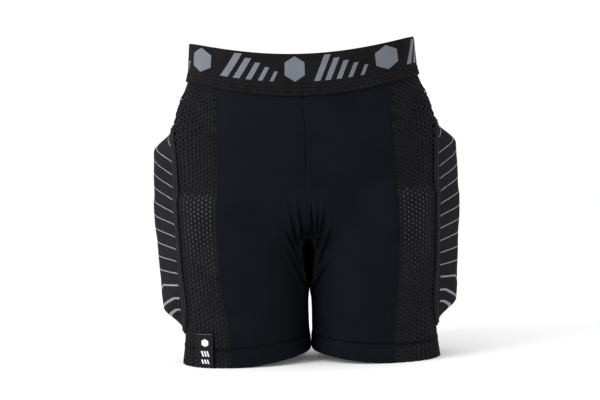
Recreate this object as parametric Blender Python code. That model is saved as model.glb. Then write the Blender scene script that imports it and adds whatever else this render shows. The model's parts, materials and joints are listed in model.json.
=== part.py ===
"""Padded impact shorts: knitted shorts with a stiff foam pad over each hip and one over the tailbone.

Metres, +Z up. The wearer faces -Y, +X is the wearer's left, and the hems stand on Z = 0. The
origin is under the middle of the whole garment.
Every piece follows one body form: cloth_distance() says how far a point lies outside the inner
face of the cloth, and each piece is a unit form bent onto surfaces at chosen distances from it.
"""

import math

import bmesh
import bpy
import numpy as np

# Whole garment
HEIGHT = 0.428  # top of the waistband at the sides
ROUND = 2.3  # squareness of the body's cross sections; 2 is an ellipse
LEG_AXIS_X = 0.0875  # middle of each leg, from which the panels are laid out
BODY_Y = -0.01664  # where the body form's own middle plane stands, ahead of the garment's middle

# Body form: (height, value) stations of the inner face of the cloth
HALF_WIDTH = (
    (0.000, 0.1728),
    (0.030, 0.1690),
    (0.100, 0.1708),
    (0.190, 0.1738),
    (0.260, 0.1755),
    (0.321, 0.1733),
    (0.348, 0.1656),
    (0.377, 0.1533),
    (0.428, 0.1472),
)
TORSO_FRONT = ((0.150, 0.100), (0.240, 0.108), (0.310, 0.110), (0.360, 0.105), (0.428, 0.099))
TORSO_BACK = ((0.150, 0.112), (0.220, 0.126), (0.270, 0.128), (0.360, 0.108), (0.428, 0.101))
LEG_FRONT = ((0.000, 0.086), (0.100, 0.092), (0.200, 0.104))
LEG_BACK = ((0.000, 0.088), (0.100, 0.096), (0.200, 0.111))
LEG_GAP = (
    (0.000, 0.0042),
    (0.020, 0.0021),
    (0.040, 0.0028),
    (0.060, 0.0032),
    (0.080, 0.0028),
    (0.092, 0.00165),
    (0.104, 0.00140),
    (0.116, 0.00140),
    (0.160, 0.00140),
)
CROTCH_Z = 0.178
UNDER_ROUND = 0.045  # roundness where the trunk closes between the legs
LEG_TOP_Z = CROTCH_Z + 0.9 * UNDER_ROUND
LEG_FADE = 0.5  # how fast the leg columns shrink above that
SIDE_BLEND = 0.005
CROTCH_BLEND = 0.036
CROTCH_REACH = 0.090
BISECTIONS = 40
SETTLING_ROUNDS = 6

# Layers, as distances outside the inner face of the cloth
CLOTH = 0.0012
PAD_BASE = 0.0027
BAND_INSIDE = 0.0023
BAND_OUTSIDE = 0.0037
LINING_OUTSIDE = -0.0005
LINING_INSIDE = -0.0013

# Edges and seams
SEAM_GAP = 0.00045  # half the clearance between two panels
FRONT_DIP = 0.0244
BACK_DIP = 0.0150
BAND_SIDE_TALL = 0.051
BAND_FRONT_DIP = 0.0276
DIP_HALF_WIDTH_TOP = 0.150
DIP_HALF_WIDTH_BOTTOM = 0.156
BAND_LAP = 0.010  # how far the panels reach up behind the band
HEM_RISE = 0.014
HEM_FLAT_FROM_X = 0.100
HEM_CURVE = 1.5  # over 1, the hem rises late, close to the inseam
SIDE_SEAM_X = (
    (0.000, 0.105),
    (0.050, 0.108),
    (0.100, 0.114),
    (0.173, 0.118),
    (0.256, 0.115),
    (0.390, 0.113),
)
LINING_BOTTOM = 0.230

# Crotch gusset: its lower edge runs from the apex down to a tip on the inside of each thigh
GUSSET_TIP_Z = 0.085
GUSSET_APEX_ANGLE = 146.0
GUSSET_STEPS = (0.0, 0.1, 0.3, 0.6, 1.0)
GUSSET_SHOULDER = 0.6  # under 1, the edge leaves its apex steeply
GUSSET_TOE = 1.6  # over 1, it runs out slowly along the thigh
GUSSET_EDGE_DROP = 0.004
ROW_OVER_GUSSET = 0.002
GUSSET_CLEARANCE = 0.0007

# Labels: loops of woven tape held by a row of stitches along the top edge
LABEL_THICK = 0.0008
HEM_LABEL_WIDE = 0.026
HEM_LABEL_TALL = 0.0445
HEM_LABEL_TOP = 0.0465
HEM_LABEL_ANGLE = -56.0
CARE_LABEL_WIDE = 0.030
CARE_LABEL_TALL = 0.045
CARE_LABEL_TOP = 0.372
LABEL_OFF_CLOTH = 0.0012
LABEL_INSIDE_CLOTH = 0.0024

COLLECTION = "padded_impact_shorts"


# ---------------------------------------------------------------- body form


def curve_through(stations, z):
    """A smooth curve through (height, value) stations, read at heights z."""
    heights, values = np.array(stations).T
    slopes = np.gradient(values, heights)
    i = np.clip(np.searchsorted(heights, z) - 1, 0, len(heights) - 2)
    step = heights[i + 1] - heights[i]
    t = np.clip((z - heights[i]) / step, 0.0, 1.0)
    start = (1 + 2 * t) * (1 - t) ** 2 * values[i] + t * (1 - t) ** 2 * step * slopes[i]
    end = t * t * (3 - 2 * t) * values[i + 1] - t * t * (1 - t) * step * slopes[i + 1]
    return start + end


def smooth_step(t):
    t = np.clip(t, 0.0, 1.0)
    return t * t * (3 - 2 * t)


def between(share, low, high):
    return low + (high - low) * share


def smooth_min(a, b, width):
    return np.minimum(a, b) - np.maximum(width - np.abs(a - b), 0.0) ** 2 / (4 * width)


def column(x, y, half_width, front, back):
    """Distance outside an upright rounded column, along the line from its middle."""
    depth = np.where(y < 0, front, back)
    share = ((np.abs(x) / half_width) ** ROUND + (np.abs(y) / depth) ** ROUND) ** (1 / ROUND)
    far = np.hypot(x, y)
    return far - far / np.maximum(share, 1e-9)


def cloth_distance(x, y, z):
    """How far a point lies outside the inner face of the cloth."""
    x = np.abs(x)
    outer = curve_through(HALF_WIDTH, z)
    inner = curve_through(LEG_GAP, z)
    leg = column(
        x - (outer + inner) / 2,
        y,
        (outer - inner) / 2,
        curve_through(LEG_FRONT, z),
        curve_through(LEG_BACK, z),
    )
    leg = leg + LEG_FADE * np.maximum(z - LEG_TOP_Z, 0.0)
    trunk = column(x, y, outer, curve_through(TORSO_FRONT, z), curve_through(TORSO_BACK, z))
    trunk = -smooth_min(-trunk, z - CROTCH_Z, UNDER_ROUND)
    blend = SIDE_BLEND + CROTCH_BLEND * (1 - smooth_step(x / CROTCH_REACH))
    return smooth_min(leg, trunk, blend)


def crossing(place, near, far, distance):
    """The parameter between near and far where place() gets as far out as distance says."""
    near, far = np.broadcast_arrays(near + 0.0 * distance, far + 0.0 * distance)
    for _ in range(BISECTIONS):
        middle = (near + far) / 2
        outside = cloth_distance(*place(middle)) > distance
        near = np.where(outside, near, middle)
        far = np.where(outside, middle, far)
    return (near + far) / 2


def leg_point(angle, z, distance):
    """The point of a surface, seen from the left leg's axis at an angle in degrees from +X."""
    across, along = np.cos(np.radians(angle)), np.sin(np.radians(angle))
    to_middle_plane = np.where(across < 0, -LEG_AXIS_X / np.minimum(across, -1e-6), 1.0)
    reach = np.minimum(to_middle_plane, 0.25)

    def place(r):
        return LEG_AXIS_X + across * r, along * r, z

    r = crossing(place, 0.001, reach, distance)
    return LEG_AXIS_X + across * r, along * r


def waist_point(angle, z, distance):
    """The point of a surface, seen from the middle of the trunk at an angle in degrees from +X."""
    across, along = np.cos(np.radians(angle)), np.sin(np.radians(angle))
    r = crossing(lambda r: (across * r, along * r, z), 0.001, 0.30, distance)
    return across * r, along * r


def seam_angle(x, z, distance, side):
    """The angle, from the left leg's axis, where a surface is at x; side is -1 front, 1 back."""
    y = side * crossing(lambda depth: (x, side * depth, z), 0.0, 0.25, distance)
    return np.degrees(np.arctan2(y, x - LEG_AXIS_X))


def crotch_height(y, distance):
    """The height of a surface under the crotch, in the middle plane."""
    return -crossing(lambda drop: (0.0 * y, y, -drop), -0.30, -0.10, distance)


# ---------------------------------------------------------------- edges


def share_of_dip(x, half_width):
    return np.clip(1 - (x / half_width) ** 2, 0.0, 1.0)


def band_top(x, y):
    dip = np.where(y < 0, FRONT_DIP, BACK_DIP)
    return HEIGHT - dip * share_of_dip(x, DIP_HALF_WIDTH_TOP)


def band_bottom(x, y):
    dip = np.where(y < 0, BAND_FRONT_DIP, BACK_DIP)
    return HEIGHT - BAND_SIDE_TALL - dip * share_of_dip(x, DIP_HALF_WIDTH_BOTTOM)


def gusset_edge():
    """(angle, height) nodes of the gusset's lower edge, from its apex to its tip, at the front."""
    apex_y = LEG_AXIS_X * math.tan(math.radians(180 - GUSSET_APEX_ANGLE))
    apex = min(float(crotch_height(np.array(side * apex_y), np.array(0.0))) for side in (-1, 1))
    top = apex - GUSSET_EDGE_DROP
    nodes = []
    for step in GUSSET_STEPS:
        angle = GUSSET_APEX_ANGLE + (180 - GUSSET_APEX_ANGLE) * step
        share = (1 - step**GUSSET_SHOULDER) ** GUSSET_TOE
        nodes.append((angle, between(share, GUSSET_TIP_Z, top)))
    return apex, nodes


GUSSET_APEX_Z, GUSSET_NODES = gusset_edge()
ROWS_BELOW_GUSSET = (0.0, 0.028, 0.056)
ROWS_ABOVE_GUSSET = (0.196, 0.212, LINING_BOTTOM, 0.254, 0.280, 0.305, 0.330, 0.352, 0.371, 0.387)
PANEL_ROWS = np.array(
    ROWS_BELOW_GUSSET
    + tuple(z for _, z in reversed(GUSSET_NODES))
    + (GUSSET_APEX_Z + ROW_OVER_GUSSET,)
    + ROWS_ABOVE_GUSSET
)
LEVEL_FROM = 0.205  # rows above this follow the waistband's curve
LEVEL_TO = PANEL_ROWS[-1]
HEM_LEVEL = GUSSET_TIP_Z  # rows below this follow the hem's curve


def row_height(row, x, y):
    """The height of a panel's row at a place: level in the middle, following band and hem."""
    lifted = (row - LEVEL_FROM) / (LEVEL_TO - LEVEL_FROM)
    top = band_bottom(x, y) + BAND_LAP - LEVEL_TO
    hem = HEM_RISE * np.clip(1 - x / HEM_FLAT_FROM_X, 0.0, 1.0) ** HEM_CURVE
    at_hem = np.clip(1 - row / HEM_LEVEL, 0.0, 1.0)
    return row + top * np.clip(lifted, 0.0, 1.0) + hem * at_hem


def inner_angle(row, distance, side):
    """How far a front or back panel reaches round, in degrees: centre seam, gusset, then inseam."""
    angles, heights = np.array(GUSSET_NODES[::-1]).T
    by_seam = np.full_like(row, SEAM_GAP)
    z = np.maximum(row_height(row, by_seam, np.full_like(row, side)), GUSSET_APEX_Z)
    seam = np.abs(seam_angle(by_seam, z, distance, side))
    off_gusset = np.interp(row, heights, angles) - math.degrees(SEAM_GAP / LEG_AXIS_X)
    return np.where(row > heights[-1] + 1e-5, seam, off_gusset)


# ---------------------------------------------------------------- unit forms


def slab(columns, rows):
    """A unit slab: u across and v up are cut into a grid, and w is its thickness."""
    form = bmesh.new()
    bmesh.ops.create_grid(form, x_segments=columns, y_segments=rows, size=0.5)
    bmesh.ops.solidify(form, geom=form.faces[:], thickness=1.0)
    for vert in form.verts:
        vert.co = (vert.co.x + 0.5, vert.co.y + 0.5, abs(vert.co.z))
    return form


def ring(around):
    """A unit ring of square section: an angle in degrees, u across and w up, each 0 or 1."""
    bpy.ops.mesh.primitive_torus_add(
        major_segments=around, minor_segments=4, major_radius=1.0, minor_radius=0.25
    )
    torus = bpy.context.object
    form = bmesh.new()
    form.from_mesh(torus.data)
    mesh = torus.data
    bpy.data.objects.remove(torus)
    bpy.data.meshes.remove(mesh)
    for vert in form.verts:
        out = math.hypot(vert.co.x, vert.co.y) - 1.0
        turn = math.degrees(math.atan2(vert.co.y, vert.co.x))
        up = vert.co.z
        vert.co = (turn, round(2 * (out + up) + 0.5), round(2 * (up - out) + 0.5))
    return form


def bent(form, shape, mirrored=False):
    """The form with each point moved to where shape(u, v, w) puts it."""
    places = np.stack(shape(*np.array([vert.co[:] for vert in form.verts]).T), axis=1)
    if mirrored:
        places[:, 0] *= -1
    places[:, 1] += BODY_Y
    for vert, place in zip(form.verts, places):
        vert.co = place
    bmesh.ops.recalc_face_normals(form, faces=form.faces[:])
    if form.calc_volume(signed=True) < 0:
        bmesh.ops.reverse_faces(form, faces=form.faces[:])
    return form


# ---------------------------------------------------------------- objects


def material(name, colour, roughness, metallic=0.0):
    made = bpy.data.materials.new(name)
    made.use_nodes = True
    shader = made.node_tree.nodes["Principled BSDF"]
    shader.inputs["Base Color"].default_value = (*colour, 1.0)
    shader.inputs["Roughness"].default_value = roughness
    shader.inputs["Metallic"].default_value = metallic
    return made


def add_object(name, form, colour, roughness, smooth=True):
    mesh = bpy.data.meshes.new(name)
    form.to_mesh(mesh)
    form.free()
    if smooth:
        mesh.shade_smooth()
        mesh.set_sharp_from_angle(angle=math.radians(40))
    mesh.materials.append(material(name, colour, roughness))
    made = bpy.data.objects.new(name, mesh)
    bpy.data.collections[COLLECTION].objects.link(made)
    return made


# ---------------------------------------------------------------- panels


def settle(row, distance, angle_of):
    """Places on a panel whose row heights depend on where the row runs."""
    z = row.copy()
    for _ in range(SETTLING_ROUNDS):
        x, y = leg_point(angle_of(z), z, distance)
        z = row_height(row, x, y)
    x, y = leg_point(angle_of(z), z, distance)
    return x, y, z


def side_seam(z, distance, side, offset):
    return seam_angle(curve_through(SIDE_SEAM_X, z) + offset, z, distance, side)


def panel_rows(v):
    return np.interp(v, np.linspace(0, 1, len(PANEL_ROWS)), PANEL_ROWS)


def body_panel(side, columns, mirrored):
    """A front (side -1) or back (side 1) panel, from the side seam to the middle."""

    def shape(u, v, w):
        row = panel_rows(v)
        distance = w * CLOTH
        reach = side * inner_angle(row, distance, side)

        def angle_of(z):
            return between(u, side_seam(z, distance, side, -SEAM_GAP), reach)

        return settle(row, distance, angle_of)

    return bent(slab(columns, len(PANEL_ROWS) - 1), shape, mirrored)


def side_panel(columns, mirrored):
    """A mesh panel, from the front side seam round the hip to the back one."""

    def shape(u, v, w):
        distance = w * CLOTH

        def angle_of(z):
            front = side_seam(z, distance, -1, SEAM_GAP)
            return between(u, front, side_seam(z, distance, 1, SEAM_GAP))

        return settle(panel_rows(v), distance, angle_of)

    return bent(slab(columns, len(PANEL_ROWS) - 1), shape, mirrored)


def side_lining(columns, mirrored):
    """A plain lining behind the top of a mesh panel."""
    rows = PANEL_ROWS[PANEL_ROWS >= LINING_BOTTOM]

    def shape(u, v, w):
        distance = between(w, LINING_INSIDE, LINING_OUTSIDE)
        row = np.interp(v, np.linspace(0, 1, len(rows)), rows)

        def angle_of(z):
            front = side_seam(z, distance, -1, SEAM_GAP)
            return between(u, front, side_seam(z, distance, 1, SEAM_GAP))

        return settle(row, distance, angle_of)

    return bent(slab(columns, len(rows) - 1), shape, mirrored)


def gusset():
    """The saddle-shaped piece under the crotch, with a tip down the inside of each thigh."""
    angles, heights = np.array(GUSSET_NODES).T
    angles = np.concatenate([angles, 360 - angles[-2::-1]])
    heights = np.concatenate([heights, heights[-2::-1]]) + GUSSET_CLEARANCE
    stops = np.linspace(0, 1, len(angles))

    def shape(u, v, w):
        distance = w * CLOTH
        angle = -np.interp(u, stops, angles)
        edge = np.interp(u, stops, heights)
        down = np.abs(2 * v - 1)
        middle_y = -LEG_AXIS_X * np.tan(np.radians(angle))
        top = crotch_height(middle_y, distance)
        z = between(down**2, top, edge)
        x, y = leg_point(angle, z, distance)
        x = np.where(down < 1e-6, 0.0, np.sign(2 * v - 1) * x)
        return x, y, z

    return bent(slab(len(angles) - 1, 6), shape)


def waistband(around):
    def shape(turn, across, up):
        distance = between(across, BAND_INSIDE, BAND_OUTSIDE)
        z = np.full_like(turn, HEIGHT)
        for _ in range(SETTLING_ROUNDS):
            x, y = waist_point(turn, z, distance)
            z = between(up, band_bottom(x, y), band_top(x, y))
        return x, y, z

    return bent(ring(around), shape)


# ---------------------------------------------------------------- pads


class Pad:
    """A pad's outline on the body and the height of its dome."""

    squareness = 4.5
    base_height = 0.0048
    shoulder_from = 0.005
    shoulder = 0.028
    binding_wide = 0.0070
    binding_thick = 0.0021
    cover_from = 0.0076
    foam_from = 0.0105
    cover_thick = 0.0010
    cover_gap = 0.0005
    crowding = 0.75  # under 1, the grid is finer towards the outline

    def on_outline(self, across, up):
        """The point of the unit outline in a direction, and how steeply it is left there."""
        size = (np.abs(across) ** self.squareness + np.abs(up) ** self.squareness) ** (
            1 / self.squareness
        )
        a, b = across / size, up / size
        power = self.squareness - 1
        steep = np.hypot(
            np.abs(a) ** power / self.half_width, np.abs(b) ** power / self.half_height
        )
        return a, b, steep

    def height_at(self, inset, up):
        """How far the cover stands out of the cloth, at a distance inside the outline."""
        rise = smooth_step((inset - self.shoulder_from) / self.shoulder)
        return between(rise, self.base_height, self.dome(up))

    def sheet(self, columns, rows, starts, low, high, mirrored=False):
        """A closed sheet inside the outline; low and high give its faces' distances."""

        def shape(u, v, w):
            u, v = 2 * u - 1, 2 * v - 1
            square = np.maximum(np.abs(u), np.abs(v))
            at_middle = square < 1e-9
            a, b, steep = self.on_outline(np.where(at_middle, 1.0, u), np.where(at_middle, 0.0, v))
            edge = np.where(square > 1 - 1e-6, starts, self.cover_from)
            share = square**self.crowding * (1 - edge * steep)
            across, up = a * share, b * share
            inset = np.minimum((1 - share) / steep, self.half_width * (1 - np.abs(across)))
            inset = np.minimum(inset, self.half_height * (1 - np.abs(up)))
            distance = between(w, low(inset, up), high(inset, up))
            return self.place(across, up, distance)

        return bent(slab(columns, rows), shape, mirrored)

    def foam(self, columns, rows, mirrored=False):
        under = self.cover_thick + self.cover_gap
        return self.sheet(
            columns,
            rows,
            self.foam_from,
            lambda inset, up: PAD_BASE + 0 * inset,
            lambda inset, up: self.height_at(inset, up) - under,
            mirrored,
        )

    def cover(self, columns, rows, mirrored=False):
        return self.sheet(
            columns,
            rows,
            self.cover_from,
            lambda inset, up: self.height_at(inset, up) - self.cover_thick,
            self.height_at,
            mirrored,
        )

    def binding(self, columns, rows, mirrored=False):
        """Tape round the outline, with a point beside each point of the cover's edge."""
        around = 2 * (columns + rows)
        corners = np.array([0, rows / 2, rows / 2 + columns, 1.5 * rows + columns, around - rows / 2])
        corners = np.append(corners, around)

        def shape(turn, across, up):
            step = np.round(turn / 360 * around) % around
            square_u = np.interp(step, corners, (1, 1, -1, -1, 1, 1))
            square_v = np.interp(step, corners, (0, 1, 1, -1, -1, 0))
            a, b, steep = self.on_outline(square_u, square_v)
            share = 1 - steep * self.binding_wide * (1 - across)
            distance = PAD_BASE + up * self.binding_thick
            return self.place(a * share, b * share, distance)

        return bent(ring(around), shape, mirrored)


class HipPad(Pad):
    """Stands over the hip bone and outer thigh, and swings forward at its lower end."""

    half_width = 0.057
    half_height = 0.1385
    middle_z = 0.1795
    front_angle = -24.0
    back_angle = 50.0
    toe_swing = 7.0
    toe_from = 0.35  # share of the half height at which the swing starts, and over which it grows
    toe_grows = 0.4
    dome_low = 0.0250
    dome_more = 0.0052

    def dome(self, up):
        return self.dome_low + self.dome_more * (1 - up * up)

    def place(self, across, up, distance):
        toe = self.toe_swing * smooth_step((-up - self.toe_from) / self.toe_grows)
        front = self.front_angle - toe
        angle = between((across + 1) / 2, front, self.back_angle)
        z = self.middle_z + self.half_height * up
        x, y = leg_point(angle, z, distance)
        return x, y, z


class TailbonePad(Pad):
    """Stands over the tailbone, across the seam in the middle of the back."""

    squareness = 2.8
    half_width = 0.056
    half_height = 0.064
    middle_z = 0.262
    half_angle = 24.0
    taper = 0.18
    dome_height = 0.0165
    shoulder = 0.024

    def dome(self, up):
        return self.dome_height + 0 * up

    def place(self, across, up, distance):
        angle = 90.0 - self.half_angle * across * (1 + self.taper * up)
        z = self.middle_z + self.half_height * up
        x, y = waist_point(angle, z, distance)
        return x, y, z


# ---------------------------------------------------------------- labels


def add_label(name, wide, tall, colour, hinge, facing):
    """A flat label that hangs from its origin, which is in the middle of its stitched top edge."""
    form = bmesh.new()
    bmesh.ops.create_cube(form, size=1.0)
    bmesh.ops.scale(form, vec=(wide, LABEL_THICK, tall), verts=form.verts[:])
    bmesh.ops.translate(form, vec=(0, 0, -tall / 2), verts=form.verts[:])
    made = add_object(name, form, colour, 0.6, smooth=False)
    made.location = hinge
    made.rotation_euler = (0, 0, facing)
    return made


def add_hem_label():
    """On the front of the right leg, standing just off the cloth above the hem."""
    off = CLOTH + LABEL_OFF_CLOTH
    angles = np.array([HEM_LABEL_ANGLE - 1, HEM_LABEL_ANGLE, HEM_LABEL_ANGLE + 1])
    x, y = leg_point(angles, np.full(3, HEM_LABEL_TOP - HEM_LABEL_TALL), np.full(3, off))
    facing = math.atan2(y[2] - y[0], -(x[2] - x[0])) + math.pi
    hinge = (-float(x[1]), float(y[1]) + BODY_Y, HEM_LABEL_TOP)
    add_label("hem_label", HEM_LABEL_WIDE, HEM_LABEL_TALL, (0.02, 0.02, 0.022), hinge, facing)


def add_care_label():
    """Inside the back, hanging from the seam under the waistband."""
    middle = np.array([0.0])
    reach = crossing(lambda d: (middle, d, middle + CARE_LABEL_TOP), 0.0, 0.25, middle)
    hinge = (0.0, float(reach[0]) - LABEL_INSIDE_CLOTH + BODY_Y, CARE_LABEL_TOP)
    add_label("care_label", CARE_LABEL_WIDE, CARE_LABEL_TALL, (0.55, 0.55, 0.55), hinge, 0.0)


# ---------------------------------------------------------------- assembly

LYCRA = (0.009, 0.010, 0.013)
MESH = (0.014, 0.014, 0.015)
LINING = (0.010, 0.010, 0.011)
BAND = (0.016, 0.015, 0.016)
FOAM = (0.060, 0.062, 0.065)
COVER = (0.030, 0.029, 0.032)
BINDING = (0.012, 0.012, 0.013)


def clear_scene():
    for old in list(bpy.data.objects):
        bpy.data.objects.remove(old)
    bpy.context.scene.collection.children.link(bpy.data.collections.new(COLLECTION))


def build():
    clear_scene()
    add_object("waistband", waistband(56), BAND, 0.75)
    add_object("crotch_gusset", gusset(), LYCRA, 0.6)
    hip, tailbone = HipPad(), TailbonePad()
    for name, mirrored in (("left", False), ("right", True)):
        add_object(f"front_panel_{name}", body_panel(-1, 8, mirrored), LYCRA, 0.55)
        add_object(f"back_panel_{name}", body_panel(1, 8, mirrored), LYCRA, 0.55)
        add_object(f"side_mesh_{name}", side_panel(12, mirrored), MESH, 0.85)
        add_object(f"side_lining_{name}", side_lining(12, mirrored), LINING, 0.8)
        add_object(f"hip_pad_foam_{name}", hip.foam(10, 14, mirrored), FOAM, 0.9)
        add_object(f"hip_pad_cover_{name}", hip.cover(10, 14, mirrored), COVER, 0.8)
        add_object(f"hip_pad_binding_{name}", hip.binding(10, 14, mirrored), BINDING, 0.7)
    add_object("tailbone_pad_foam", tailbone.foam(8, 8), FOAM, 0.9)
    add_object("tailbone_pad_cover", tailbone.cover(8, 8), COVER, 0.8)
    add_object("tailbone_pad_binding", tailbone.binding(8, 8), BINDING, 0.7)
    add_hem_label()
    add_care_label()


build()
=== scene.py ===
import json
import math

import bmesh
import bpy
import numpy as np
from mathutils import Matrix, Quaternion, Vector, noise
from mathutils.bvhtree import BVHTree


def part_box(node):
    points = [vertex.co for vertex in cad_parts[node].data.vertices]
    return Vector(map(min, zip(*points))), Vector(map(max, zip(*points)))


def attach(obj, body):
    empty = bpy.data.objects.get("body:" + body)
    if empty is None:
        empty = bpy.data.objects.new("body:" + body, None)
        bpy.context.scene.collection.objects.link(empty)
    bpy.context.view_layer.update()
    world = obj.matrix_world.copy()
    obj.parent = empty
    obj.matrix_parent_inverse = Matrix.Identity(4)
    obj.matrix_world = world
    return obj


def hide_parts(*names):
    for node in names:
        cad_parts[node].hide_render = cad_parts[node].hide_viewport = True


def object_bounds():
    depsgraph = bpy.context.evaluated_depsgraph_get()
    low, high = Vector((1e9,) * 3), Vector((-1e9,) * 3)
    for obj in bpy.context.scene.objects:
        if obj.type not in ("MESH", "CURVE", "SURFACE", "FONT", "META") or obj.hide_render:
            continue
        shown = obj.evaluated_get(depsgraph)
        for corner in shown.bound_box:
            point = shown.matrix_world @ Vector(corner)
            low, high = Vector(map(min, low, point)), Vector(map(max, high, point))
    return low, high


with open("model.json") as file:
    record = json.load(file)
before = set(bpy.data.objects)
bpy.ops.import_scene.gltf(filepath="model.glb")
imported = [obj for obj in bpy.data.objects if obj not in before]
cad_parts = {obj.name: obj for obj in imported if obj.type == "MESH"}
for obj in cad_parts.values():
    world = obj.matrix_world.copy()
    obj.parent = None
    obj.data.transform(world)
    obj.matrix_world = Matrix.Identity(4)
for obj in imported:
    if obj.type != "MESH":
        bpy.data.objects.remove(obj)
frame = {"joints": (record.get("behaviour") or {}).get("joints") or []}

cad_low, cad_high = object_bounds()

# Everything is in metres in the frame of the CAD model: the wearer faces -Y, +X is the wearer's
# left, and the hems stand on Z = 0. The body form below is the one the CAD pieces were bent onto.

# -------- body form

HEIGHT = cad_high.z
ROUND = 2.3
LEG_AXIS_X = 0.0875
HALF_WIDTH = (
    (0.000, 0.1728), (0.030, 0.1690), (0.100, 0.1708), (0.190, 0.1738), (0.260, 0.1755),
    (0.321, 0.1733), (0.348, 0.1656), (0.377, 0.1533), (0.428, 0.1472),
)
TORSO_FRONT = ((0.150, 0.100), (0.240, 0.108), (0.310, 0.110), (0.360, 0.105), (0.428, 0.099))
TORSO_BACK = ((0.150, 0.112), (0.220, 0.126), (0.270, 0.128), (0.360, 0.108), (0.428, 0.101))
LEG_FRONT = ((0.000, 0.086), (0.100, 0.092), (0.200, 0.104))
LEG_BACK = ((0.000, 0.088), (0.100, 0.096), (0.200, 0.111))
LEG_GAP = (
    (0.000, 0.0042), (0.020, 0.00185), (0.040, 0.0028), (0.060, 0.0032), (0.080, 0.0028),
    (0.092, 0.00165), (0.104, 0.00140), (0.116, 0.00140), (0.160, 0.00140),
)
CROTCH_Z = 0.178
UNDER_ROUND = 0.045
LEG_TOP_Z = CROTCH_Z + 0.9 * UNDER_ROUND
LEG_FADE = 0.5
SIDE_BLEND = 0.005
CROTCH_BLEND = 0.036
CROTCH_REACH = 0.090

BODY_Y = -0.01664
CLOTH = 0.0012
BAND_SIDE_TALL = 0.051
FRONT_DIP = 0.0244
BACK_DIP = 0.0150
BAND_FRONT_DIP = 0.0276
BAND_LAP = 0.010
HEM_RISE = 0.014
HEM_FLAT_FROM_X = 0.100
HEM_DEEP = 0.0245
SIDE_SEAM_X = (
    (0.000, 0.105), (0.050, 0.108), (0.100, 0.114), (0.173, 0.118), (0.256, 0.115), (0.390, 0.113)
)
SEAM_LAP = 0.0022  # how far a mesh panel reaches under its neighbours
LINING_BOTTOM = 0.230
GUSSET_TIP_Z = 0.085
GUSSET_APEX_ANGLE = 146.0
GUSSET_EDGE_DROP = 0.004
LEVEL_FROM = 0.205
LEVEL_TO = 0.387
HEM_LEVEL = 0.085


def curve_through(stations, z):
    """A smooth curve through (height, value) stations, read at heights z."""
    heights, values = np.array(stations).T
    slopes = np.gradient(values, heights)
    i = np.clip(np.searchsorted(heights, z) - 1, 0, len(heights) - 2)
    step = heights[i + 1] - heights[i]
    t = np.clip((z - heights[i]) / step, 0.0, 1.0)
    start = (1 + 2 * t) * (1 - t) ** 2 * values[i] + t * (1 - t) ** 2 * step * slopes[i]
    end = t * t * (3 - 2 * t) * values[i + 1] - t * t * (1 - t) * step * slopes[i + 1]
    return start + end


def smooth_step(t):
    t = np.clip(t, 0.0, 1.0)
    return t * t * (3 - 2 * t)


def smooth_min(a, b, width):
    return np.minimum(a, b) - np.maximum(width - np.abs(a - b), 0.0) ** 2 / (4 * width)


def between(share, low, high):
    return low + (high - low) * share


def unit(vectors):
    return vectors / np.linalg.norm(vectors, axis=-1, keepdims=True)


def column(x, y, half_width, front, back):
    """Distance outside an upright rounded column, along the line from its middle."""
    depth = np.where(y < 0, front, back)
    share = ((np.abs(x) / half_width) ** ROUND + (np.abs(y) / depth) ** ROUND) ** (1 / ROUND)
    far = np.hypot(x, y)
    return far - far / np.maximum(share, 1e-9)


def cloth_distance(x, y, z):
    """How far a point lies outside the inner face of the cloth."""
    x = np.abs(x)
    outer, inner = curve_through(HALF_WIDTH, z), curve_through(LEG_GAP, z)
    depths = curve_through(LEG_FRONT, z), curve_through(LEG_BACK, z)
    leg = column(x - (outer + inner) / 2, y, (outer - inner) / 2, *depths)
    leg = leg + LEG_FADE * np.maximum(z - LEG_TOP_Z, 0.0)
    trunk = column(x, y, outer, curve_through(TORSO_FRONT, z), curve_through(TORSO_BACK, z))
    trunk = -smooth_min(-trunk, z - CROTCH_Z, UNDER_ROUND)
    return smooth_min(leg, trunk, SIDE_BLEND + CROTCH_BLEND * (1 - smooth_step(x / CROTCH_REACH)))


def crossing(place, near, far, distance=0.0):
    """The parameter between near and far where place() gets as far out as distance says."""
    for _ in range(26):
        middle = (near + far) / 2
        outside = cloth_distance(*place(middle)) > distance
        near = np.where(outside, near, middle)
        far = np.where(outside, middle, far)
    return (near + far) / 2


def leg_point(angle, z, distance=0.0):
    """The point of a surface, seen from the left leg's axis at an angle in degrees from +X."""
    across, along = np.cos(np.radians(angle)), np.sin(np.radians(angle))
    to_middle_plane = np.where(across < 0, -LEG_AXIS_X / np.minimum(across, -1e-6), 1.0)
    reach = np.minimum(to_middle_plane, 0.25)
    r = crossing(lambda r: (LEG_AXIS_X + across * r, along * r, z), 0.001, reach, distance)
    return LEG_AXIS_X + across * r, along * r


def waist_point(angle, z, distance=0.0):
    """The point of a surface, seen from the middle of the trunk at an angle in degrees from +X."""
    across, along = np.cos(np.radians(angle)), np.sin(np.radians(angle))
    r = crossing(lambda r: (across * r, along * r, z), 0.001, 0.30, distance)
    return across * r, along * r


def seam_angle(x, z, side):
    """The angle, from the left leg's axis, where a surface is at x; side is -1 front, 1 back."""
    y = side * crossing(lambda depth: (x, side * depth, z), 0.0, 0.25)
    return np.degrees(np.arctan2(y, x - LEG_AXIS_X))


def crotch_height(y):
    return -crossing(lambda drop: (0.0 * y, y, -drop), -0.30, -0.10)


def share_of_dip(x, half_width):
    return np.clip(1 - (x / half_width) ** 2, 0.0, 1.0)


def band_top(x, y):
    return HEIGHT - np.where(y < 0, FRONT_DIP, BACK_DIP) * share_of_dip(x, 0.150)


def band_bottom(x, y):
    dip = np.where(y < 0, BAND_FRONT_DIP, BACK_DIP)
    return HEIGHT - BAND_SIDE_TALL - dip * share_of_dip(x, 0.156)


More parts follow.
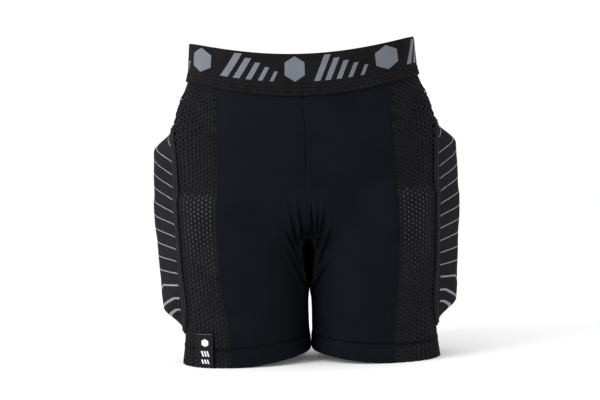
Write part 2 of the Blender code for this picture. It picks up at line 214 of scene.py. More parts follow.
def row_height(row, x, y):
    """The height of a panel's row at a place: level in the middle, following band and hem."""
    lifted = np.clip((row - LEVEL_FROM) / (LEVEL_TO - LEVEL_FROM), 0.0, 1.0)
    top = band_bottom(x, y) + BAND_LAP - LEVEL_TO
    hem = HEM_RISE * np.clip(1 - x / HEM_FLAT_FROM_X, 0.0, 1.0) ** 1.5
    return row + top * lifted + hem * np.clip(1 - row / HEM_LEVEL, 0.0, 1.0)


APEX_Y = LEG_AXIS_X * math.tan(math.radians(180 - GUSSET_APEX_ANGLE))
APEX_Z = min(float(crotch_height(s * APEX_Y)) for s in (-1, 1))
GUSSET_TOP_Z = APEX_Z - GUSSET_EDGE_DROP


def inner_angle(row, side):
    """How far a front or back panel reaches round, in degrees: centre seam, gusset, inseam."""
    z = row_height(row, np.zeros_like(row), np.full_like(row, side * 0.1))
    seam = np.abs(seam_angle(np.full_like(row, 2e-4), np.maximum(z, APEX_Z), side))
    share = np.clip((row - GUSSET_TIP_Z) / (GUSSET_TOP_Z - GUSSET_TIP_Z), 0.0, 1.0)
    step = (1 - share ** (1 / 1.6)) ** (1 / 0.6)
    off_gusset = GUSSET_APEX_ANGLE + (180 - GUSSET_APEX_ANGLE) * step
    return np.where(row > GUSSET_TOP_Z, np.maximum(seam, GUSSET_APEX_ANGLE - 16), off_gusset)


# -------- surfaces


class Surface:
    """A smooth sheet known on a grid of points, read anywhere at (u, v) and at any lift off it."""

    def __init__(self, points, closed=False):
        self.points, self.closed = points, closed
        across = np.gradient(points, axis=1)
        if closed:
            across[:, 0] = across[:, -1] = points[:, 1] - points[:, -2]
        normals = np.cross(across, np.gradient(points, axis=0))
        self.normals = normals / np.maximum(np.linalg.norm(normals, axis=2, keepdims=True), 1e-12)
        self.middle = points.shape[0] // 2, points.shape[1] // 2
        self.wide = np.linalg.norm(np.diff(points[self.middle[0]], axis=0), axis=1).sum()
        self.tall = np.linalg.norm(np.diff(points[:, self.middle[1]], axis=0), axis=1).sum()

    def mix(self, grid, u, v):
        rows, columns = grid.shape[:2]
        a = (np.mod(u, 1.0) if self.closed else np.clip(u, 0.0, 1.0)) * (columns - 1)
        b = np.clip(v, 0.0, 1.0) * (rows - 1)
        i = np.minimum(a.astype(int), columns - 2)
        j = np.minimum(b.astype(int), rows - 2)
        s, t = (a - i)[..., None], (b - j)[..., None]
        low = grid[j, i] * (1 - s) + grid[j, i + 1] * s
        high = grid[j + 1, i] * (1 - s) + grid[j + 1, i + 1] * s
        return low * (1 - t) + high * t

    def normal(self, u, v):
        return self.mix(self.normals, u, v)

    def at(self, u, v, lift=0.0):
        u, v = np.broadcast_arrays(np.asarray(u, float), np.asarray(v, float))
        return self.mix(self.points, u, v) + self.normal(u, v) * np.asarray(lift)[..., None]

    def turned_to(self, way):
        """The surface, with u running the other way if its middle faces away from way."""
        if self.normals[self.middle] @ way > 0:
            return self
        return Surface(self.points[:, ::-1])

    def inner_edge(self):
        """The u, 0 or 1, of the edge at the centre seam and inseam."""
        return 0.0 if abs(self.points[self.middle[0], 0, 0]) < 0.05 else 1.0


def panel_surface(start_of, end_of, columns, rows):
    """The surface between two seams, its rows at heights that depend on where they run."""
    row, u = np.meshgrid(np.linspace(0, LEVEL_TO, rows), np.linspace(0, 1, columns), indexing="ij")
    z = row.copy()
    for _ in range(5):
        x, y = leg_point(between(u, start_of(z, row), end_of(z, row)), z)
        points = np.stack([x, y, z], axis=2)
        z = row_height(row, x, y)
    made = Surface(points)
    return made.turned_to(made.points[made.middle] * np.array([1.0, 1.0, 0.0]))


def side_seam(side, offset=0.0):
    return lambda z, row: seam_angle(curve_through(SIDE_SEAM_X, z) + offset, z, side)


def gusset_grid(columns, rows):
    step = np.concatenate([np.linspace(0, 1, columns), np.linspace(1, 0, columns)[1:]])
    angle = GUSSET_APEX_ANGLE + (180 - GUSSET_APEX_ANGLE) * step
    angle[columns:] = 360 - angle[columns:]
    down, angle = np.meshgrid(np.linspace(-1, 1, rows), -angle, indexing="ij")
    top = crotch_height(-LEG_AXIS_X * np.tan(np.radians(angle)))
    edge = GUSSET_TIP_Z + (GUSSET_TOP_Z - GUSSET_TIP_Z) * (1 - step**0.6) ** 1.6
    z = between(down**2, top, np.broadcast_to(edge, down.shape))
    x, y = leg_point(angle, z)
    x = np.where(np.abs(down) < 1e-6, 0.0, np.sign(down) * x)
    return np.stack([x, y, z], axis=2)


def band_grid(columns, rows):
    turn, up = np.meshgrid(np.linspace(-270, 90, columns), np.linspace(0, 1, rows))
    z = np.full_like(turn, HEIGHT)
    for _ in range(6):
        x, y = waist_point(turn, z)
        z = between(up, band_bottom(x, y), band_top(x, y))
    return np.stack([x, y, z], axis=2)


front_surface = panel_surface(side_seam(-1), lambda z, row: -inner_angle(row, -1), 61, 161)
back_surface = panel_surface(side_seam(1), lambda z, row: inner_angle(row, 1), 61, 161)
side_surface = panel_surface(side_seam(-1, -SEAM_LAP), side_seam(1, -SEAM_LAP), 81, 121)
gusset_surface = Surface(gusset_grid(31, 41)).turned_to(np.array([0.0, 0.0, -1.0]))
band_surface = Surface(band_grid(361, 25), closed=True)

# -------- meshes

SIDES = (("left", 1.0), ("right", -1.0))


def link(name, data):
    made = bpy.data.objects.new(name, data)
    bpy.context.scene.collection.objects.link(made)
    return made


def add_plain(name, points, faces, uv=None):
    """A smooth mesh, with a uv for every point."""
    mesh = bpy.data.meshes.new(name)
    mesh.from_pydata(points.reshape(-1, 3), [], faces)
    if uv is not None:
        layer = mesh.uv_layers.new(name="cloth")
        corner = np.empty(len(mesh.loops), np.int32)
        mesh.loops.foreach_get("vertex_index", corner)
        layer.data.foreach_set("uv", uv.reshape(-1, 2)[corner].astype(np.float32).ravel())
    mesh.validate()
    mesh.shade_smooth()
    return link(name, mesh)


def mend(mesh, apart=None):
    """Joins the points of a closed mesh that are less than apart from each other, and turns its
    faces outwards."""
    form = bmesh.new()
    form.from_mesh(mesh)
    if apart:
        bmesh.ops.remove_doubles(form, verts=form.verts[:], dist=apart)
    bmesh.ops.recalc_face_normals(form, faces=form.faces[:])
    if form.calc_volume(signed=True) < 0:
        bmesh.ops.reverse_faces(form, faces=form.faces[:])
    form.to_mesh(mesh)
    form.free()


def add_mesh(name, points, faces, uv):
    made = add_plain(name, points, faces, uv)
    mend(made.data)
    made.data.set_sharp_from_angle(angle=math.radians(50))
    return made


def add_form(name, form, uv_of=None):
    """An object from a bmesh of closed pieces."""
    bmesh.ops.recalc_face_normals(form, faces=form.faces[:])
    if uv_of:
        layer = form.loops.layers.uv.new("cloth")
        for loop in (loop for face in form.faces for loop in face.loops):
            loop[layer].uv = uv_of(loop.vert.co)
    mesh = bpy.data.meshes.new(name)
    form.to_mesh(mesh)
    form.free()
    return link(name, mesh)


def grid_quads(rows, columns, start=0):
    j, i = np.meshgrid(np.arange(rows - 1), np.arange(columns - 1), indexing="ij")
    a = start + j * columns + i
    return np.stack([a, a + 1, a + columns + 1, a + columns], axis=2).reshape(-1, 4)


def sheet_quads(rows, columns):
    """Quads of a closed sheet: a grid, its copy below, and the rim between their borders."""
    under = rows * columns
    right, top = np.arange(rows - 1) * columns + columns - 1, (rows - 1) * columns
    left = np.arange(rows - 1, 0, -1) * columns
    border = np.concatenate([np.arange(columns - 1), right, top + np.arange(columns - 1, 0, -1), left])
    after = np.roll(border, -1)
    rim = np.stack([border, after, after + under, border + under], axis=1)
    return np.concatenate([grid_quads(rows, columns), grid_quads(rows, columns, under)[:, ::-1], rim])


def add_grids(name, outer, inner, flip, uv):
    """A closed sheet between two grids of points."""
    points = np.concatenate([outer.reshape(-1, 3), inner.reshape(-1, 3)])
    points[:, 0] *= flip
    uv = uv.reshape(-1, 2)
    return add_mesh(name, points, sheet_quads(*outer.shape[:2]), np.concatenate([uv, uv]))


def add_sheet(name, surface, u, v, low, high, flip=1.0):
    """A closed sheet of cloth over the (u, v) grid of a surface, between two lifts off it."""
    v, u = np.meshgrid(v, u, indexing="ij")
    outer, inner = (
        surface.at(u, v, lift(u, v) if callable(lift) else np.full(u.shape, lift)) for lift in (high, low)
    )
    return add_grids(name, outer, inner, flip, np.stack([u * surface.wide, v * surface.tall], axis=2))


def steps(low, high, spacing):
    return np.linspace(low, high, max(2, round(abs(high - low) / spacing) + 1))


# -------- materials


class Nodes:
    """A short way to write a material's nodes."""

    def __init__(self, name):
        self.material = bpy.data.materials.new(name)
        self.material.use_nodes = True
        self.tree = self.material.node_tree
        self.at = self.add("ShaderNodeTexCoord").outputs["Object"]

    def add(self, kind, settings=None, **inputs):
        node = self.tree.nodes.new(kind)
        for key, value in (settings or {}).items():
            setattr(node, key, value)
        for key, value in inputs.items():
            self.put(node.inputs[key], value)
        return node

    def put(self, socket, value):
        if isinstance(value, bpy.types.NodeSocket):
            self.tree.links.new(value, socket)
        else:
            socket.default_value = value

    def math(self, operation, a, b):
        node = self.add("ShaderNodeMath", {"operation": operation})
        self.put(node.inputs[0], a)
        self.put(node.inputs[1], b)
        return node.outputs[0]

    def blend(self, *parts):
        """The sum of two values, each times its share."""
        return self.math("ADD", *(self.math("MULTIPLY", value, share) for value, share in parts))

    def mixed(self, share, a, b):
        """A mix of two colours, each a socket or (red, green, blue)."""
        node = self.add("ShaderNodeMix", {"data_type": "RGBA"})
        self.put(node.inputs[0], share)
        for socket, colour in ((node.inputs[6], a), (node.inputs[7], b)):
            self.put(socket, colour if isinstance(colour, bpy.types.NodeSocket) else (*colour, 1.0))
        return node.outputs[2]

    def ramp(self, value, low, high):
        values = {"Value": value, "From Min": low, "From Max": high}
        return self.add("ShaderNodeMapRange", {"clamp": True}, **values).outputs[0]

    def noise(self, scale, detail, rough=0.55):
        values = {"Vector": self.at, "Scale": scale, "Detail": detail, "Roughness": rough}
        return self.add("ShaderNodeTexNoise", None, **values).outputs[0]

    def bands(self, direction, pitch, distortion, where=None):
        """Smooth bands a pitch apart in metres; a wave repeats every 2 pi / 20 of its scale."""
        where = where or self.add("ShaderNodeUVMap", {"uv_map": "cloth"}).outputs[0]
        values = {"Vector": where, "Scale": math.pi / 10 / pitch, "Distortion": distortion, "Detail": 1.0}
        return self.add("ShaderNodeTexWave", {"bands_direction": direction}, **values).outputs[1]

    def bump(self, height, distance, **before):
        return self.add("ShaderNodeBump", None, Height=height, Distance=distance, **before).outputs[0]

    def finish(self, colour, roughness, normal, specular, sheen=0.0):
        values = {"Base Color": colour, "Roughness": roughness, "Normal": normal}
        values.update({"Specular IOR Level": specular, "Sheen Weight": sheen, "Sheen Roughness": 0.45})
        for key, value in values.items():
            self.put(self.tree.nodes["Principled BSDF"].inputs[key], value)
        return self.material


def knit(name, dark, light, pitch, relief, roughness, specular):
    """Fine knit: upright wales crossed by courses, with slow changes of tone and worn lint."""
    n = Nodes(name)
    wales = n.bands("X", pitch, 0.6)
    loops = n.math("MULTIPLY", wales, n.bands("Y", pitch * 0.8, 0.8))
    cloud = n.ramp(n.noise(22.0, 4.0), 0.35, 0.7)
    lint = n.ramp(n.noise(900.0, 2.0, 0.7), 0.66, 0.8)
    colour = n.mixed(n.blend((loops, 0.65), (cloud, 0.30)), dark, light)
    colour = n.mixed(n.math("MULTIPLY", lint, 0.25), colour, [3 * c for c in light])
    normal = n.bump(n.noise(60.0, 3.0), relief * 2.5, Normal=n.bump(loops, relief))
    rough = n.math("ADD", n.math("MULTIPLY", cloud, 0.12), roughness)
    return n.finish(colour, rough, normal, specular)


def woven(name, dark, light, pitch, relief, roughness, specular, sheen=0.0, floats=1.0):
    """Woven tape or elastic: close ribs one way, floats the other way."""
    n = Nodes(name)
    warp = n.bands("X", pitch, 0.15)
    weft = n.bands("Y", pitch * floats, 0.15)
    weave = n.math("MAXIMUM", n.math("MULTIPLY", warp, 0.9), n.math("MULTIPLY", weft, 0.75))
    cloud = n.ramp(n.noise(35.0, 4.0), 0.35, 0.7)
    colour = n.mixed(n.blend((weave, 0.6), (cloud, 0.4)), dark, light)
    rough = n.math("ADD", n.math("MULTIPLY", cloud, 0.1), roughness)
    return n.finish(colour, rough, n.bump(weave, relief), specular, sheen)


def thread(name, dark, light, specular):
    n = Nodes(name)
    twist = n.add("ShaderNodeMapping", None, Vector=n.at, Rotation=(0.6, 0.5, 0.7))
    ply = n.bands("X", 0.00045, 0.3, twist.outputs[0])
    return n.finish(n.mixed(ply, dark, light), 0.5, n.bump(ply, 0.0001), specular)


def film(name):
    """Printed reflective film: pale grey, faintly beaded, a little cracked and rubbed."""
    n = Nodes(name)
    beads = n.noise(1600.0, 1.0)
    rubbed = n.ramp(n.noise(130.0, 5.0, 0.65), 0.56, 0.72)
    tone = n.mixed(n.ramp(beads, 0.3, 0.7), (0.138, 0.138, 0.150), (0.205, 0.205, 0.220))
    colour = n.mixed(n.math("MULTIPLY", rubbed, 0.45), tone, (0.066, 0.066, 0.072))
    return n.finish(colour, 0.38, n.bump(beads, 0.00008), 0.55)


def pale_net_painted_light(name):
    """Fine pale net seen through the holes, with painted light: bright under the lining and painted darker
    towards the hem.
    """
    n = Nodes(name)
    net = n.math("MULTIPLY", n.bands("X", 0.0009, 0.3), n.bands("Y", 0.0009, 0.3))
    # Painted light: by height, the net is lit brightest under the lining and painted into shade towards the
    # hem.
    high = n.ramp(n.add("ShaderNodeSeparateXYZ", None, Vector=n.at).outputs[2], 0.085, 0.215)
    cloud = n.ramp(n.noise(30.0, 4.0), 0.3, 0.7)
    tone = n.blend((net, 0.45), (cloud, 0.55))
    bright = n.mixed(tone, (0.100, 0.096, 0.098), (0.225, 0.218, 0.221))
    colour = n.mixed(n.math("POWER", high, 1.2), (0.0480, 0.0465, 0.0480), bright)
    return n.finish(colour, 0.8, n.bump(net, 0.0001), 0.04)


def studio_paper(name):
    n = Nodes(name)
    colour = n.mixed(n.noise(1.3, 2.0), (0.94, 0.94, 0.94), (0.96, 0.96, 0.96))
    return n.finish(colour, 0.75, n.bump(n.noise(260.0, 4.0), 0.0002), 0.3)


KNIT = knit("stretch_knit_fine", (0.0026, 0.0029, 0.0044), (0.0072, 0.0078, 0.0108), 0.0009, 8e-5, 0.6, 0.03)
# The gusset is the same black knit, painted darker still: painted shade of the recess between the legs.
GUSSET_KNIT_AND_SHADE = knit(
    "gusset_knit", (0.0012, 0.0013, 0.0018), (0.0035, 0.0037, 0.0045), 0.0011, 1e-4, 0.75, 0.02
)
MESH_THREAD = knit("mesh_thread", (0.0048, 0.0046, 0.0056), (0.016, 0.0152, 0.018), 0.0007, 1e-4, 0.7, 0.04)
LINING = knit("lining_knit", (0.025, 0.0244, 0.0285), (0.04, 0.039, 0.045), 0.001, 8e-5, 0.8, 0.02)
COVER = knit("pad_cover_knit", (0.008, 0.0076, 0.0094), (0.02, 0.0192, 0.0225), 0.0013, 1e-4, 0.72, 0.04)
BACKING = pale_net_painted_light("mesh_backing")
ELASTIC = woven(
    "waist_elastic", (0.0028, 0.0027, 0.003), (0.01, 0.0096, 0.0104), 0.0011, 1.4e-4, 0.7, 0.03, floats=2.4
)
MOTIF_YARN = woven(
    "motif_yarn", (0.084, 0.091, 0.109), (0.138, 0.148, 0.175), 0.0011, 1.2e-4, 0.6, 0.1, sheen=0.03
)
TAPE = woven("binding_tape", (0.0055, 0.0055, 0.0062), (0.015, 0.015, 0.0164), 0.0008, 1.2e-4, 0.68, 0.04)
LABEL = woven("label_satin", (0.0018, 0.0018, 0.0021), (0.005, 0.005, 0.0056), 0.0005, 5e-5, 0.5, 0.1)
LABEL_INK = woven("label_yarn", (0.5, 0.5, 0.52), (0.78, 0.78, 0.8), 0.0005, 5e-5, 0.5, 0.2)
CARE = woven("care_satin", (0.4, 0.4, 0.4), (0.58, 0.58, 0.57), 0.0006, 6e-5, 0.4, 0.2, sheen=0.05)
CARE_INK = woven("care_ink", (0.02, 0.02, 0.02), (0.05, 0.05, 0.05), 0.0006, 3e-5, 0.6, 0.1)
THREAD = thread("black_thread", (0.001, 0.001, 0.0012), (0.006, 0.006, 0.0066), 0.04)
FLATLOCK = thread("flatlock_thread", (0.007, 0.007, 0.0076), (0.032, 0.0315, 0.0325), 0.05)
BAND_THREAD = thread("waistband_thread", (0.012, 0.0117, 0.0124), (0.056, 0.0545, 0.057), 0.08)
TAPE_THREAD = thread("binding_thread", (0.03, 0.03, 0.032), (0.09, 0.09, 0.094), 0.08)
PALE_THREAD = thread("label_thread", (0.12, 0.12, 0.125), (0.33, 0.33, 0.34), 0.2)
FILM = film("reflective_film")


def dress(piece, material, slot, *nodes, body="shorts"):
    """Gives a piece its material and its body, and hides the CAD nodes it stands for. Its slot is not used.
    """
    if body == "shorts":
        piece.data.transform(Matrix.Translation((0.0, BODY_Y, 0.0)))
    piece.data.materials.clear()
    piece.data.materials.append(material)
    if nodes:
        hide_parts(*nodes)
    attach(piece, body)
    return piece


# -------- relief of the cloth

# Folds that the gusset pulls into the front, each from its upper to its lower end at (x, z),
# with its depth and half width; the left leg's and then the right leg's.
FOLDS_LEFT = (
    (0.0050, 0.226, 0.0058, 0.168, 0.0030, 0.0013),
    (0.0150, 0.232, 0.0118, 0.150, 0.0026, 0.0017),
    (0.0260, 0.222, 0.0112, 0.142, 0.0036, 0.0016),
    (0.0370, 0.196, 0.0120, 0.124, 0.0036, 0.0017),
    (0.0330, 0.146, 0.0050, 0.095, 0.0036, 0.0015),
)
FOLDS_RIGHT = (
    (0.0120, 0.228, 0.0072, 0.160, 0.0032, 0.0014),
    (0.0260, 0.232, 0.0140, 0.146, 0.0026, 0.0018),
    (0.0350, 0.196, 0.0118, 0.128, 0.0034, 0.0016),
    (0.0300, 0.158, 0.0110, 0.112, 0.0034, 0.0016),
    (0.0270, 0.140, 0.0040, 0.096, 0.0036, 0.0015),
)
FOLD_DEEP = 1.35
TOUCH_GAP = 0.000005  # left between the legs where they touch
UNDER_GUSSET, ABOVE_HEM = (0.0905, 0.153), (0.0140, 0.0245)  # heights between which they do


def distance_to_line(x, z, ends):
    ax, az, bx, bz = ends
    dx, dz = bx - ax, bz - az
    along = np.clip(((x - ax) * dx + (z - az) * dz) / (dx * dx + dz * dz), 0.0, 1.0)
    return np.hypot(x - ax - along * dx, z - az - along * dz), along


def gusset_folds(x, z, folds):
    """How far the cloth sinks into the folds beside the gusset, and swells between them."""
    sunk = 0.0 * x
    for *ends, depth, half in folds:
        off, along = distance_to_line(x, z, ends)
        fade = smooth_step(along / 0.75) * (1 - 0.45 * smooth_step((along - 0.85) / 0.15))
        sunk -= depth * fade * np.exp(-((off / half) ** 2))
        sunk += 0.40 * depth * fade * np.exp(-(((off - 2.1 * half) / half) ** 2))
    return np.clip(FOLD_DEEP * sunk, -0.0062, 0.0022)


def ripple(points, size, seed):
    """Slow unevenness from -1 to 1."""
    offset = Vector((seed * 7.3, seed * 3.1, seed * 5.7))
    values = [noise.noise(Vector(p) / size + offset) for p in points.reshape(-1, 3)]
    return np.array(values).reshape(points.shape[:-1])


def hem_relief(z_above_hem):
    """The folded hem is two cloths thick up to its stitches, which pull it in."""
    thicker = 0.0005 * (1 - smooth_step((z_above_hem - HEM_DEEP) / 0.0012))
    pulled = -0.0007 * np.exp(-(((z_above_hem - HEM_DEEP) / 0.0017) ** 2))
    edge = -0.0004 * (1 - smooth_step(z_above_hem / 0.0012))
    return thicker + pulled + edge


def touching(points, lift):
    """Lets the legs touch under the gusset and again above the hem, and never cross."""
    x, y, z = np.abs(points[..., 0]), np.abs(points[..., 1]), points[..., 2]
    near = 1 - smooth_step((y - 0.003) / 0.006)
    under_gusset = smooth_step((z - UNDER_GUSSET[0]) / 0.003) * smooth_step((UNDER_GUSSET[1] - z) / 0.006)
    above_hem = smooth_step((z - ABOVE_HEM[0]) / 0.003) * smooth_step((ABOVE_HEM[1] - z) / 0.003)
    share = near * np.maximum(under_gusset, above_hem)
    reach = x - TOUCH_GAP
    beside = (x < 0.0045) & (y < 0.025) & (z < 0.150)
    return np.where(beside, np.minimum(between(share, lift, reach), reach), lift)


def panel_lift(surface, seed, folds=None):
    def lift(u, v):
        points = surface.at(u, v)
        base = CLOTH + hem_relief(v * surface.tall)
        base += 0.0003 * ripple(points, 0.050, seed) + 0.00014 * ripple(points, 0.016, seed + 4)
        if folds:
            x, z = points[..., 0], points[..., 2]
            over_top = np.maximum(z - GUSSET_TOP_Z, x - 0.011)
            from_edge = np.where(z > GUSSET_TOP_Z, over_top, u * surface.wide)
            base += gusset_folds(x, z, folds) * smooth_step(from_edge / 0.007)
        return touching(points, base * np.where(v > 0.965, 0.8, 1.0))

    return lift


def add_panel(node, surface, u, v, flip, folds=None):
    lift = panel_lift(surface, 1.0 + flip, folds)
    name = f"{node}_cloth"
    panel = add_sheet(name, surface, u, v, lambda u, v: np.minimum(lift(u, v) - CLOTH, 0.0), lift, flip)
    dress(panel, KNIT, "stretch_knit", node)


# Stretches of a panel's v or u and the spacing of its grid there, closest by hem and folds.
HEM_STEPS = (0, 0.08, 0.0025)
BACK_STEPS = (HEM_STEPS, (0.08, 1.0, 0.0055))
FRONT_STEPS = (HEM_STEPS, (0.08, 0.20, 0.0055), (0.20, 0.58, 0.0026), (0.58, 1.0, 0.0055))
FRONT_ACROSS = ((0, 0.62, 0.011), (0.62, 1.0, 0.0055))


def grid_lines(stretches):
    return np.unique(np.concatenate([steps(*stretch) for stretch in stretches]))


def add_panels():
    """The front, back and gusset: fine stretch knit."""
    fine_u = grid_lines(FRONT_ACROSS)
    if front_surface.inner_edge() == 0.0:
        fine_u = 1 - fine_u[::-1]
    front_v, back_v = grid_lines(FRONT_STEPS), grid_lines(BACK_STEPS)
    for (name, flip), folds in zip(SIDES, (FOLDS_LEFT, FOLDS_RIGHT)):
        add_panel(f"front_panel_{name}", front_surface, fine_u, front_v, flip, folds)
        add_panel(f"back_panel_{name}", back_surface, steps(0, 1, 1 / 90), back_v, flip)
    even = steps(0, 1, 0.0125)
    lift = lambda u, v: touching(gusset_surface.at(u, v), np.full(u.shape, 0.00136))
    gusset = add_sheet("crotch_gusset_cloth", gusset_surface, even, even, 0.0001, lift)
    dress(gusset, GUSSET_KNIT_AND_SHADE, "stretch_knit", "crotch_gusset")


# -------- honeycomb mesh

COLUMN_WIDE = 0.00505  # between columns of holes; each column is half a cell off the last
CELL_TALL = 0.0061
HOLE_RADIUS = 0.00135
MOST_STRETCHED = 0.48  # slack width over stretched width at the sides, where the pad spreads it
MESH_THICK = 0.0011


def wrinkles(points):
    """Soft slanting creases where the mesh flares from the waist over the pad."""
    z = points[..., 2]
    along = z * math.cos(0.6) + points[..., 1] * math.sin(0.6)
    where = smooth_step((z - 0.27) / 0.04) * smooth_step((0.375 - z) / 0.03)
    return 0.0013 * where * np.sin(along * 2 * math.pi / 0.0135 + 5 * ripple(points, 0.06, 2.0))


def side_lift(u, v):
    """The net follows its creases, and its long edges are pressed under its neighbours."""
    edge = np.minimum(u, 1 - u) * side_surface.wide
    pressed = 0.0009 * (1 - smooth_step((edge - 0.0012) / 0.0018))
    return 0.0005 - pressed + wrinkles(side_surface.at(u, v))


def stretched_across(surface):
    """Widths before stretching, from edge to edge, and the u each lands on: more at the sides."""
    middle = surface.middle[0]
    strip = np.linalg.norm(np.diff(surface.points[middle], axis=0), axis=1)
    facing = np.abs(surface.normals[middle, 1:, 1])
    slack = np.concatenate([[0.0], np.cumsum(strip * np.maximum(facing, MOST_STRETCHED))])
    return slack, np.linspace(0.0, 1.0, len(slack))


def honeycomb(surface, lift_of):
    """Points, faces and uv of a knitted mesh: each cell is a hexagon of thread round a hole."""
    slack, landing = stretched_across(surface)
    unit = np.array([COLUMN_WIDE / 3, CELL_TALL / 2])
    corners = ((2, 0), (1, -1), (-1, -1), (-2, 0), (-1, 1), (1, 1))
    cells = [
        (3 * i, 2 * j + i % 2)
        for i in range(int(slack[-1] / COLUMN_WIDE) + 2)
        for j in range(int(surface.tall / CELL_TALL) + 2)
    ]
    places = {}
    ring = np.array(
        [[places.setdefault((x + a, y + b), len(places)) for a, b in corners] for x, y in cells]
    )
    outer, middle = np.array(list(places), float), np.array(cells, float)
    turn = np.radians(-60 * np.arange(6))
    round_hole = HOLE_RADIUS * np.stack([np.cos(turn), np.sin(turn)], axis=1) / unit
    from_edge = middle[:, 0] * unit[0]
    from_edge = np.minimum(from_edge, slack[-1] - from_edge)
    open_share = 0.25 + 0.75 * smooth_step((from_edge - 0.0020) / 0.0050)
    inner = middle[:, None, :] + round_hole[None] * open_share[:, None, None]

    def place(grid, off):
        u = np.interp(grid[..., 0] * unit[0], slack, landing)
        v = np.clip(grid[..., 1] * unit[1] / surface.tall, 0.0, 1.0)
        flat = np.stack([u * surface.wide, v * surface.tall], axis=-1)
        return surface.at(u, v, lift_of(u, v) + off), flat

    layers = ((outer, MESH_THICK / 2), (outer, -MESH_THICK / 2), (inner.reshape(-1, 2), 0.0))
    points, uv = (np.concatenate(part) for part in zip(*(place(*layer) for layer in layers)))
    count = len(outer)
    hole = 2 * count + np.arange(len(cells) * 6).reshape(-1, 6)
    after, hole_after = np.roll(ring, -1, 1), np.roll(hole, -1, 1)
    top = np.stack([ring, after, hole_after, hole], axis=2).reshape(-1, 4)
    under = np.stack([after + count, ring + count, hole, hole_after], axis=2).reshape(-1, 4)
    # Edges that only one cell has are the border, and are closed from front to back.
    edges = np.stack([ring.ravel(), after.ravel()], axis=1)
    _, first, uses = np.unique(np.sort(edges, axis=1), axis=0, return_index=True, return_counts=True)
    a, b = edges[first[uses == 1]].T
    return points, np.concatenate([top, under, np.stack([b, a, a + count, b + count], axis=1)]), uv


def add_side_meshes():
    points, faces, uv = honeycomb(side_surface, side_lift)
    for name, flip in SIDES:
        turned = faces if flip > 0 else faces[:, ::-1]
        net = add_plain(f"side_mesh_{name}_net", points * np.array([flip, 1, 1]), turned, uv)
        dress(net, MESH_THREAD, "side_mesh", f"side_mesh_{name}")


BACKING_LIFTS = (-0.0014, -0.0008)
LINING_LIFTS = (-0.0015, -0.0008)  # off the creases


def add_linings():
    """A dark lining behind the top of each mesh, and behind the rest a lighter fine net."""
    v_low, u = LINING_BOTTOM / side_surface.tall, steps(0.0, 1.0, 0.02)
    for name, flip in SIDES:
        backing = add_sheet(
            f"side_mesh_{name}_backing", side_surface, u, steps(0.002, v_low, 0.012), *BACKING_LIFTS, flip
        )
        dress(backing, BACKING, "side_mesh")
        low, high = (
            lambda u, v, lift=lift: wrinkles(side_surface.at(u, v)) + lift for lift in LINING_LIFTS
        )
        v = steps(v_low, 0.99, 0.012)
        lining = add_sheet(f"side_lining_{name}_cloth", side_surface, u, v, low, high, flip)
        dress(lining, LINING, "lining_knit", f"side_lining_{name}")


# -------- hip and tailbone pads

SETTLE_FRAMES = 20
CLOTH_SPARE = 0.015  # how much more cloth there is than its frame
MOST_MOVED = 0.0012
CLOTH_SETTINGS = {
    "quality": 4,
    "mass": 0.15,
    "tension_stiffness": 12.0,
    "compression_stiffness": 12.0,
    "shear_stiffness": 4.0,
    "bending_stiffness": 0.15,
    "use_pressure": True,
    "uniform_pressure_force": 4.0,
    "vertex_group_mass": "held",
    "shrink_min": -CLOTH_SPARE,
}


class Pad:
    """A pad's outline on the body and the height of its dome, as in the CAD model."""

    squareness = 4.5
    base_height = 0.0048
    shoulder_from = 0.005
    shoulder = 0.028
    cover_from = 0.0076
    base = 0.0027
    settled = None

    def place(self, across, up, distance):
        """The point of the body, or as far off it as distance says, at unit coordinates."""
        z = self.middle_z + self.half_height * up
        x, y = self.seen_at(self.angle(across, up), z, distance)
        return np.stack([x, y, z + 0 * x], axis=-1)

    def size_of(self, across, up):
        power = self.squareness
        return (np.abs(across) ** power + np.abs(up) ** power) ** (1 / power)

    def on_outline(self, across, up):
        """The point of the outline that way, and the shares of the size per metre there."""
        size = self.size_of(across, up)
        a, b = across / size, up / size
        power = self.squareness - 1
        return a, b, np.hypot(np.abs(a) ** power / self.half_width, np.abs(b) ** power / self.half_height)

    def inset_of(self, across, up):
        """Distance inside the outline, in metres."""
        share = self.size_of(across, up)
        safe, at_middle = np.maximum(share, 1e-6), share < 1e-6
        steep = self.on_outline(
            np.where(at_middle, 1.0, across / safe), np.where(at_middle, 0.0, up / safe)
        )[2]
        inset = np.minimum((1 - share) / steep, self.half_width * (1 - np.abs(across)))
        return np.minimum(inset, self.half_height * (1 - np.abs(up)))

    def height_at(self, across, up):
        rise = smooth_step((self.inset_of(across, up) - self.shoulder_from) / self.shoulder)
        return between(rise, self.base_height, self.dome(up))

    def grid(self, count_u, count_v, starts):
        """Unit coordinates of a grid that fills the outline, with its border on the cover's edge."""
        v, u = np.meshgrid(np.linspace(-1, 1, count_v), np.linspace(-1, 1, count_u), indexing="ij")
        square = np.maximum(np.abs(u), np.abs(v))
        at_middle = square < 1e-9
        a, b, steep = self.on_outline(np.where(at_middle, 1.0, u), np.where(at_middle, 0.0, v))
        share = square**0.75 * (1 - starts * steep)
        return a * share, b * share

    def ring(self, inset, count):
        """Unit coordinates round the outline, at a distance inside it, evenly spaced on the body."""
        fine = np.linspace(0, 2 * math.pi, 1441)
        a, b, steep = self.on_outline(np.cos(fine), np.sin(fine))
        a, b = a * (1 - inset * steep), b * (1 - inset * steep)
        points = self.place(a, b, self.base)
        length = np.concatenate([[0], np.cumsum(np.linalg.norm(np.diff(points, axis=0), axis=1))])
        even = np.linspace(0, length[-1], count + 1)
        return np.interp(even, length, a), np.interp(even, length, b), even


